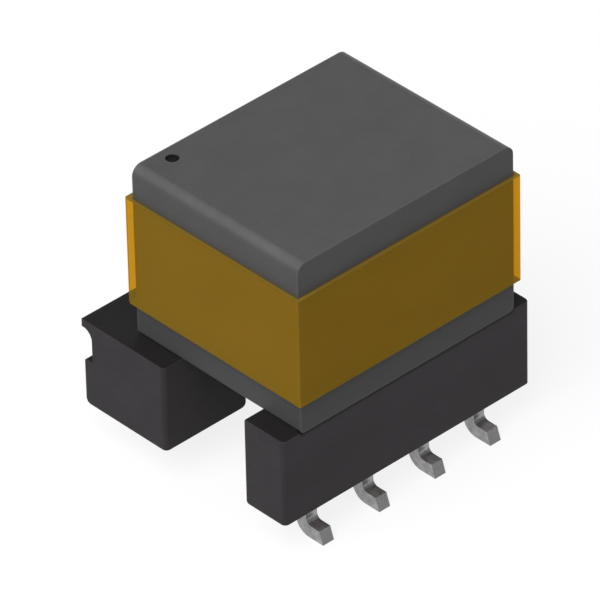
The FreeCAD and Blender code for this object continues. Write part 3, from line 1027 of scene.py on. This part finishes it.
@dataclass
class Winding:
    """One winding: a single layer of turns, and its two ends carried out to their leads.

    turn_in says how many groove depths before the lead the wire starts to leave its groove.
    """

    name: str
    wire: float
    cover: str
    cover_thickness: float
    row: Row
    leads: tuple[str, str]

    layer_gap: float = 0.01 * MM
    corridor: float = 0.3 * MM
    exit_angle: float = 40.0
    groove_depth: float = 0.3 * MM
    lead_thickness: float = 0.48 * MM
    lead_fit: float = 0.01 * MM
    wrap_gap: float = 0.03 * MM
    wrap_turns: float = 1.2
    gap_height: float = 1.2 * MM
    flange: float = 0.42 * MM
    rear_gap_depth: float = 1.85 * MM
    rear_gap_half: float = 1.96 * MM
    gap_margin: float = 0.33 * MM
    groove_width: float = 0.5 * MM
    turn_in: float = 1.2
    ease: float = 0.16 * MM
    squareness: float = 0.25

    former: str = "bobbin"
    sides: int = 8
    coil_steps: int = 40
    wrap_steps: int = 48
    ease_steps: int = 7

    @property
    def out(self) -> int:
        """The way out of the part along Y, as a sign."""
        return self.row.value

    def radius(self) -> float:
        """The distance from the coil's axis to the middle of the wire."""
        cover = block_of(self.cover)
        return cover.half.x - self.cover_thickness - self.layer_gap - self.wire / 2

    def coil(self) -> np.ndarray:
        """The turns as one helix, side by side between the corridors.

        Point = (r cos a, y, axis + r sin a), with y rising evenly by one wire for each turn.

        Returns:
            The points of the wire's middle.
        """
        cover = block_of(self.cover)
        radius = self.radius()
        first = cover.low.y + self.wire / 2
        last = cover.high.y - self.wire / 2
        turns = round((last - first) / self.wire)
        angle = np.linspace(0, math.tau * turns, turns * self.coil_steps + 1)
        along = np.linspace(first, last, angle.size)
        height = cover.centre.z + radius * np.sin(angle)
        return np.stack([radius * np.cos(angle), along, height], axis=1)

    def wrap(self, post: Block, top: float) -> np.ndarray:
        """The turns round a lead's post as a square helix with soft corners.

        Point = centre + half * sign(c) |c|^squareness across and the same of s along, for c and
        s the cosine and sine of the turn's angle, sinking by one wire for each turn.

        Args:
            post: The space of the lead.
            top: The height of the first turn's middle.

        Returns:
            The points of the wire's middle.
        """
        spare = self.lead_fit + self.wire / 2
        half_x = post.half.x + spare
        half_y = self.lead_thickness / 2 + spare
        middle = self._post_back(post) + self.out * self.lead_thickness / 2
        steps = round(self.wrap_steps * self.wrap_turns)
        angle = np.linspace(0, math.tau * self.wrap_turns, steps)
        cosine, sine = np.cos(angle), np.sin(angle)
        across = post.centre.x + half_x * np.sign(cosine) * np.abs(cosine) ** self.squareness
        along = middle + self.out * half_y * np.sign(sine) * np.abs(sine) ** self.squareness
        sink = top - self.wire * angle / math.tau
        return np.stack([across, along, sink], axis=1)

    def _post_back(self, post: Block) -> float:
        """The side of a lead that faces the coil, as a place along Y."""
        return post.low.y if self.row is Row.REAR else post.high.y

    def end(self, lead: str) -> np.ndarray:
        """The path of one wire end from the coil through its groove and round its lead.

        Args:
            lead: The lead's node.

        Returns:
            The points of the wire's middle.
        """
        post = block_of(lead)
        cover = block_of(self.cover)
        rail_bottom = block_of(self.former).low.z
        mirror = math.copysign(1, post.centre.x)
        radius = self.radius()
        angle = math.radians(self.exit_angle)
        exit_x = mirror * radius * math.cos(angle)
        exit_z = cover.centre.z - radius * math.sin(angle)
        coil_end = cover.high.y if self.row is Row.REAR else cover.low.y
        in_corridor = coil_end + self.out * self.corridor / 2
        groove_z = rail_bottom + self.groove_depth / 2
        back = self._post_back(post)
        corners = [
            (exit_x, coil_end - self.out * self.corridor / 2, exit_z),
            (exit_x, in_corridor, exit_z),
        ]
        if self.row is Row.REAR:
            inside = mirror * min(abs(post.centre.x), self.rear_gap_half - self.gap_margin)
            flange_back = coil_end + self.corridor + self.flange
            across = coil_end + self.corridor + self.rear_gap_depth - self.groove_width
            gap_z = rail_bottom + self.gap_height
            corners += [(inside, in_corridor, gap_z), (inside, flange_back, gap_z),
                        (inside, across, groove_z)]
            if abs(post.centre.x) > self.rear_gap_half:
                corners.append((post.centre.x, across, groove_z))
        else:
            corners.append((post.centre.x, in_corridor, groove_z))
        top = rail_bottom - self.wrap_gap - self.wire / 2
        turns = self.wrap(post, top)
        corners += [
            (post.centre.x, back - self.out * self.turn_in * self.groove_depth, groove_z),
            (turns[0, 0], back - self.out * self.lead_fit, top),
            tuple(turns[0]),
        ]
        route = eased(np.array(corners), self.ease, self.ease_steps)
        return np.concatenate([route[:-1], turns])

    def build(self, material: bpy.types.Material) -> None:
        """Make the winding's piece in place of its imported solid.

        Args:
            material: The wire's finish.
        """
        paths = [self.coil()] + [self.end(lead) for lead in self.leads]
        parts = [round_wire(path, self.wire / 2, self.sides) for path in paths]
        piece = add_piece(f"{self.name}_wire", parts, material)
        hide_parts(self.name)


@dataclass
class Coil:
    """The windings, from the tube outwards, and the films between and around them."""

    thin: float = 0.16 * MM
    thick: float = 0.22 * MM
    layer_film: float = 0.06 * MM
    outer_film: float = 0.12 * MM
    films: tuple[str, ...] = (
        "first_layer_tape", "second_layer_tape", "third_layer_tape", "coil_wrap")

    def windings(self) -> list[Winding]:
        """List the four windings, each with the film over it, its row and its leads.

        Returns:
            The windings, from the tube outwards.
        """
        first, second, third, outer = self.films
        layer, wrap = self.layer_film, self.outer_film
        return [
            Winding("primary_winding", self.thin, first, layer, Row.FRONT, ("lead_2", "lead_3")),
            Winding("secondary_winding", self.thick, second, layer, Row.REAR, ("lead_6", "lead_7")),
            Winding("bias_winding", self.thin, third, layer, Row.FRONT, ("lead_1", "lead_4")),
            Winding("drive_winding", self.thick, outer, wrap, Row.REAR, ("lead_5", "lead_8")),
        ]

    def build(self, effects: Effects) -> None:
        """Make the wires and give the films their finish.

        Args:
            effects: The shared node groups.
        """
        copper = EnamelledCopper().material(effects)
        for winding in self.windings():
            winding.build(copper)
        film = CoilFilm(rib_pitch=self.thick).material(effects)
        for name in self.films:
            dress(name, film)


@dataclass(frozen=True)
class Lamp:
    """A square soft lamp that looks at the part from one side."""

    name: str
    towards: Triple
    light: float
    width: float
    distance: float = 0.4

    def build(self) -> None:
        """Hang the lamp.

        The power that lights a facing surface to the level light is
        light * pi^2 * distance^2, in watts.
        """
        lamp = bpy.data.lights.new(self.name, "AREA")
        lamp.shape = "SQUARE"
        lamp.size = self.width
        lamp.energy = self.light * math.pi**2 * self.distance**2
        way = Vector(self.towards).normalized()
        holder = bpy.data.objects.new(self.name, lamp)
        holder.location = way * self.distance
        holder.rotation_euler = way.to_track_quat("Z", "Y").to_euler()
        holder.visible_camera = False
        bpy.context.scene.collection.objects.link(holder)


@dataclass
class Studio:
    """Pale table, white surroundings, soft lamps and the camera."""

    table_half: float = 0.5
    table_tone: float = 0.15
    table_shown_tone: float = 0.98
    table_shown_glow: float = 0.84
    sky_light: float = 0.2
    lamps: tuple[Lamp, ...] = (
        Lamp("key_lamp", (-0.63, -0.16, 0.76), 1.34, 0.35),
        Lamp("front_lamp", (-0.1, -0.94, 0.34), 0.3, 0.3),
        Lamp("back_lamp", (0.85, 0.45, 0.25), 0.14, 0.2),
    )

    azimuth: float = -42.639
    elevation: float = 36.085
    roll: float = -1.339
    distance: float = 262.185 * MM
    aim: Triple = (-0.9062 * MM, -0.6535 * MM, 6.0 * MM)
    focal_pixels: float = 8170.6
    image_pixels: float = 600.0
    sensor: float = 36.0
    nearest: float = 0.01
    farthest: float = 10.0

    @staticmethod
    def _when_seen(sheet: NodeSheet, rays: object, mirrored: bool, lighting: float,
                   shown: float) -> Socket:
        """One value for rays that light the part and one for rays that show what they meet.

        Args:
            sheet: The sheet that the value is for.
            rays: The outputs of its Light Path node.
            mirrored: True if reflections show the surface as the camera does.
            lighting: The value for rays that light the part.
            shown: The value for rays that show the surface.

        Returns:
            The output that carries the value.
        """
        seen = sheet.math("MAXIMUM", rays["Is Camera Ray"], rays["Is Transmission Ray"])
        if mirrored:
            seen = sheet.math("MAXIMUM", seen, rays["Is Glossy Ray"])
        node = sheet.add("ShaderNodeMapRange", {"Value": seen, "To Min": lighting, "To Max": shown})
        return node.outputs["Result"]

    def build_table(self) -> None:
        """A flat pale table at the height of the feet, seen only from above."""
        half = self.table_half
        mesh = bpy.data.meshes.new("table")
        mesh.from_pydata([(-half, -half, 0), (half, -half, 0), (half, half, 0), (-half, half, 0)],
                         [], [(0, 1, 2, 3)])
        sheet = MaterialSheet("pale_table")
        glow = sheet.add("ShaderNodeEmission", {"Color": WHITE, "Strength": 1.0})
        rays = sheet.add("ShaderNodeLightPath").outputs
        tone = self._when_seen(sheet, rays, True, self.table_tone, self.table_shown_tone)
        paint = sheet.add("ShaderNodeBsdfDiffuse", {"Color": tone})
        share = self._when_seen(sheet, rays, True, 0.0, self.table_shown_glow)
        lit = sheet.add("ShaderNodeMixShader", {0: share, 1: paint.outputs[0], 2: glow.outputs[0]})
        below = sheet.add("ShaderNodeNewGeometry").outputs["Backfacing"]
        clear = sheet.add("ShaderNodeBsdfTransparent")
        mix = sheet.add("ShaderNodeMixShader", {
            0: sheet.math("MULTIPLY", below, rays["Is Camera Ray"]), 1: lit.outputs[0],
            2: clear.outputs[0]})
        mesh.materials.append(sheet.finish(mix))
        table = bpy.data.objects.new("table", mesh)
        bpy.context.scene.collection.objects.link(table)

    def build_sky(self) -> None:
        """Even light from all round, and white where the camera sees it."""
        world = bpy.data.worlds.new("surroundings")
        bpy.context.scene.world = world
        world.use_nodes = True
        sheet = NodeSheet(world.node_tree)
        rays = sheet.add("ShaderNodeLightPath").outputs
        strength = self._when_seen(sheet, rays, False, self.sky_light, 1.0)
        white = sheet.add("ShaderNodeBackground", {
            "Color": WHITE, "Strength": strength})
        output = sheet.add("ShaderNodeOutputWorld")
        sheet.feed(output.inputs["Surface"], white.outputs[0])

    def build_camera(self) -> None:
        """The camera at the photograph's angle, with a long lens.

        back points from the part to the camera: (sin az cos el, -cos az cos el, sin el).
        """
        azimuth, elevation, roll = map(math.radians, (self.azimuth, self.elevation, self.roll))
        back = Vector((math.sin(azimuth) * math.cos(elevation),
                       -math.cos(azimuth) * math.cos(elevation), math.sin(elevation)))
        level = Vector((math.cos(azimuth), math.sin(azimuth), 0))
        upright = back.cross(level)
        right = level * math.cos(roll) + upright * math.sin(roll)
        up = upright * math.cos(roll) - level * math.sin(roll)
        lens = bpy.data.cameras.new("camera")
        lens.sensor_width = self.sensor
        lens.lens = self.focal_pixels / self.image_pixels * self.sensor
        lens.clip_start = self.nearest
        lens.clip_end = self.farthest
        camera = bpy.data.objects.new("camera", lens)
        turn = Matrix((right, up, back)).transposed().to_4x4()
        camera.matrix_world = Matrix.Translation(Vector(self.aim) + back * self.distance) @ turn
        bpy.context.scene.collection.objects.link(camera)
        bpy.context.scene.camera = camera

    def build(self) -> None:
        """Set up the whole studio."""
        self.build_table()
        self.build_sky()
        for lamp in self.lamps:
            lamp.build()
        self.build_camera()
        bpy.context.scene.view_settings.view_transform = "Standard"


def main() -> None:
    """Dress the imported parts, add the wires and set up the studio."""
    logging.basicConfig(level=logging.INFO, format="%(message)s")
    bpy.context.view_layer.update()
    effects = Effects()
    Core().dress(effects)
    Former().dress(effects)
    Coil().build(effects)
    Studio().build()


if __name__ == "__main__":
    main()
